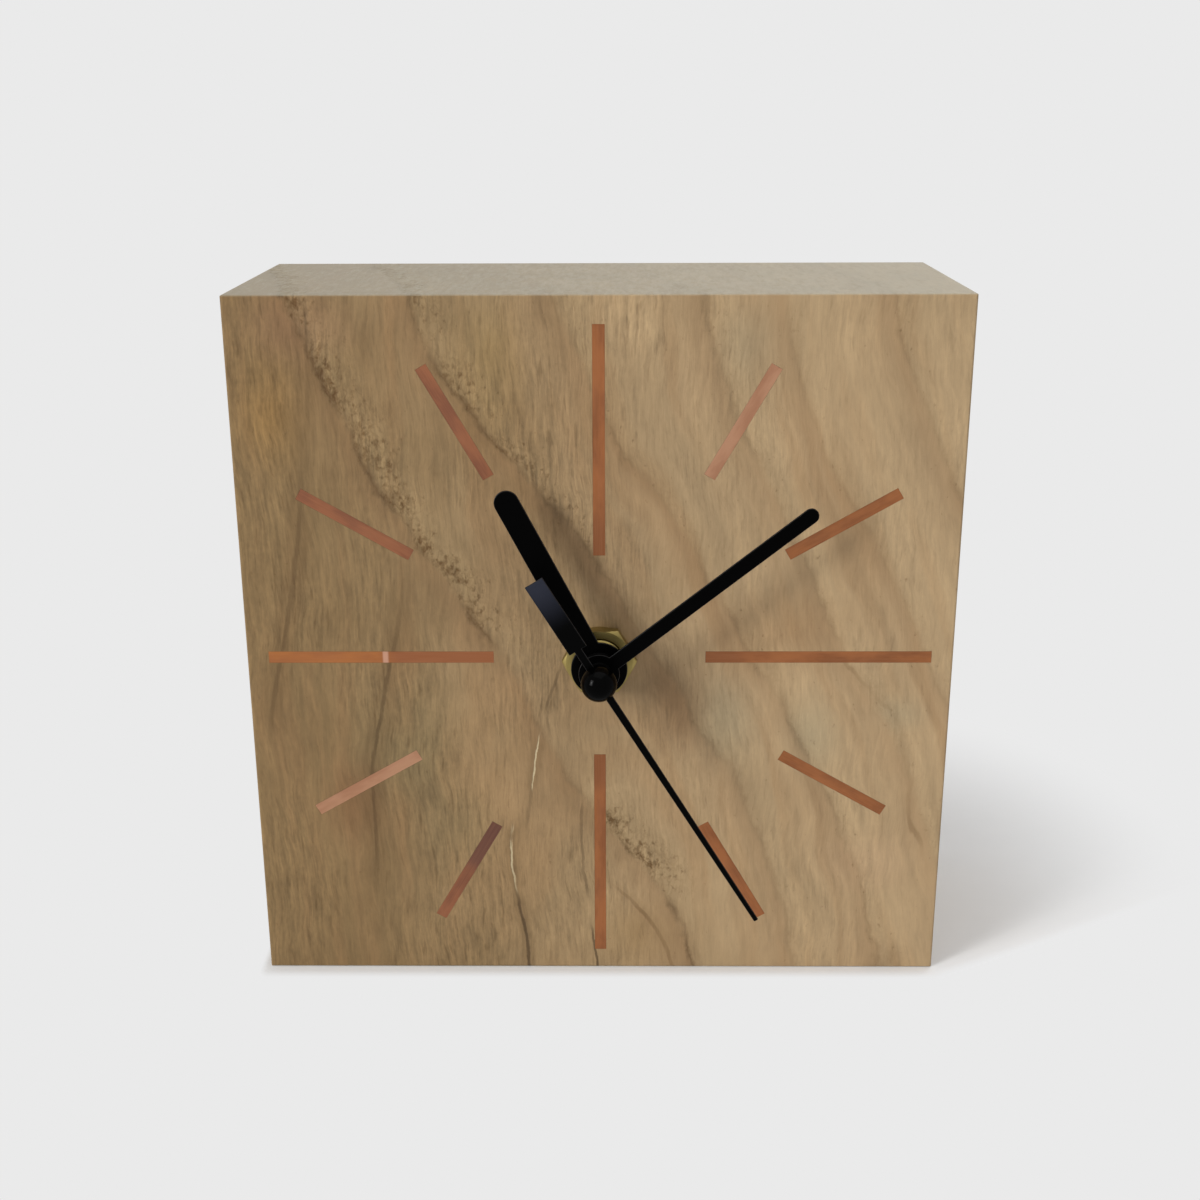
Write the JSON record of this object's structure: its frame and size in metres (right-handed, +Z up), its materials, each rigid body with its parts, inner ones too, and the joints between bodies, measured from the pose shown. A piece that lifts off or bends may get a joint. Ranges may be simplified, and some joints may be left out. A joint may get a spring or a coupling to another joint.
{
  "type": "analog desk clock",
  "caption": "Free-standing desk clock in a square wooden block with flush copper hour strips, black hands, and a battery movement in a rear pocket.",
  "frame": {"origin": "centre of the block's flat underside", "axes": "+Z up, +X to the right seen from the front, the dial faces -Y; hands turn clockwise for positive turns about +Y"},
  "size_m": [0.12, 0.0616, 0.121],
  "materials": {
    "wood": "oiled, open grained",
    "copper": "satin copper strip, ground flush",
    "rubber": "moulded, matte",
    "brass": "turned, bright",
    "case_plastic": "moulded, fine spark texture",
    "gear_plastic": "moulded acetal, natural",
    "iron": "stamped sheet",
    "copper_wire": "enamelled wire",
    "board": "laminate with lacquer",
    "resin": "poured, glossy",
    "steel": "drawn, bright",
    "contact_metal": "plated spring sheet",
    "magnet": "sintered, dark",
    "black_paint": "satin black lacquer",
    "black_gloss": "polished black",
    "knob_plastic": "moulded, satin",
    "battery_sleeve": "printed sleeve, semi-gloss",
    "battery_steel": "plated steel"
  },
  "bodies": {
    "case": {"wood_block": "wood", "hour_marker_01": "copper", "hour_marker_02": "copper", "hour_marker_03": "copper", "hour_marker_04": "copper", "hour_marker_05": "copper", "hour_marker_06": "copper", "hour_marker_07": "copper", "hour_marker_08": "copper", "hour_marker_09": "copper", "hour_marker_10": "copper", "hour_marker_11": "copper", "hour_marker_12": "copper", "dial_gasket": "rubber", "brass_washer": "brass", "brass_nut": "brass", "threaded_bushing": "brass", "movement_case": "case_plastic", "back_cover": "case_plastic", "train_bridge": "gear_plastic", "stator": "iron", "coil_core": "iron", "coil_bobbin": "gear_plastic", "coil_winding": "copper_wire", "circuit_board": "board", "chip_cover": "resin", "quartz_crystal": "steel", "contact_negative": "contact_metal", "contact_positive": "contact_metal"},
    "seconds": {"second_wheel": "gear_plastic", "second_arbor": "steel", "second_hand": "black_paint", "second_hand_cap": "black_gloss"},
    "third": {"third_wheel": "gear_plastic"},
    "center": {"center_gear": "brass"},
    "intermediate": {"intermediate_wheel": "gear_plastic"},
    "rotor": {"rotor_magnet": "magnet", "rotor_pinion": "gear_plastic"},
    "minutes": {"minute_arbor": "gear_plastic", "minute_hand": "black_paint", "clutch_spring": "steel"},
    "motion": {"minute_wheel": "gear_plastic"},
    "hours": {"hour_wheel": "gear_plastic", "hour_hand": "black_paint"},
    "setter": {"setting_arbor": "gear_plastic", "setting_knob": "knob_plastic"},
    "battery": {"battery_can": "battery_sleeve", "battery_terminal": "battery_steel"}
  },
  "joints": [
    {"name": "second_spin", "type": "hinge", "parent": "case", "child": "seconds", "pos_m": [0, 0, 0.06], "axis": [0, 1, 0], "continuous": true},
    {"name": "intermediate_spin", "type": "hinge", "parent": "case", "child": "intermediate", "pos_m": [-0.00455, 0, 0.06788], "axis": [0, 1, 0], "continuous": true},
    {"name": "rotor_spin", "type": "hinge", "parent": "case", "child": "rotor", "pos_m": [0.00143, 0, 0.07289], "axis": [0, 1, 0], "continuous": true},
    {"name": "third_spin", "type": "hinge", "parent": "case", "child": "third", "pos_m": [0.009, 0, 0.06], "axis": [0, 1, 0], "continuous": true},
    {"name": "center_spin", "type": "hinge", "parent": "case", "child": "center", "pos_m": [0, 0, 0.06], "axis": [0, 1, 0], "continuous": true},
    {"name": "minute_spin", "type": "hinge", "parent": "case", "child": "minutes", "pos_m": [0, 0, 0.06], "axis": [0, 1, 0], "continuous": true},
    {"name": "minute_wheel_spin", "type": "hinge", "parent": "case", "child": "motion", "pos_m": [-0.008, 0, 0.06], "axis": [0, 1, 0], "continuous": true},
    {"name": "hour_spin", "type": "hinge", "parent": "case", "child": "hours", "pos_m": [0, 0, 0.06], "axis": [0, 1, 0], "continuous": true},
    {"name": "setting_spin", "type": "hinge", "parent": "case", "child": "setter", "pos_m": [-0.0164, 0, 0.06], "axis": [0, 1, 0], "continuous": true},
    {"name": "battery_slide", "type": "slide", "parent": "case", "child": "battery", "axis": [0, 1, 0], "range_m": [0, 0.036]}
  ],
  "couplings": [
    {"joint": "intermediate_spin", "follows": "second_spin", "ratio": -6},
    {"joint": "rotor_spin", "follows": "second_spin", "ratio": 30},
    {"joint": "third_spin", "follows": "second_spin", "ratio": -0.13333},
    {"joint": "center_spin", "follows": "second_spin", "ratio": 0.016667},
    {"joint": "minute_wheel_spin", "follows": "minute_spin", "ratio": -0.33333},
    {"joint": "hour_spin", "follows": "minute_spin", "ratio": 0.083333},
    {"joint": "setting_spin", "follows": "minute_spin", "ratio": 0.83333}
  ]
}
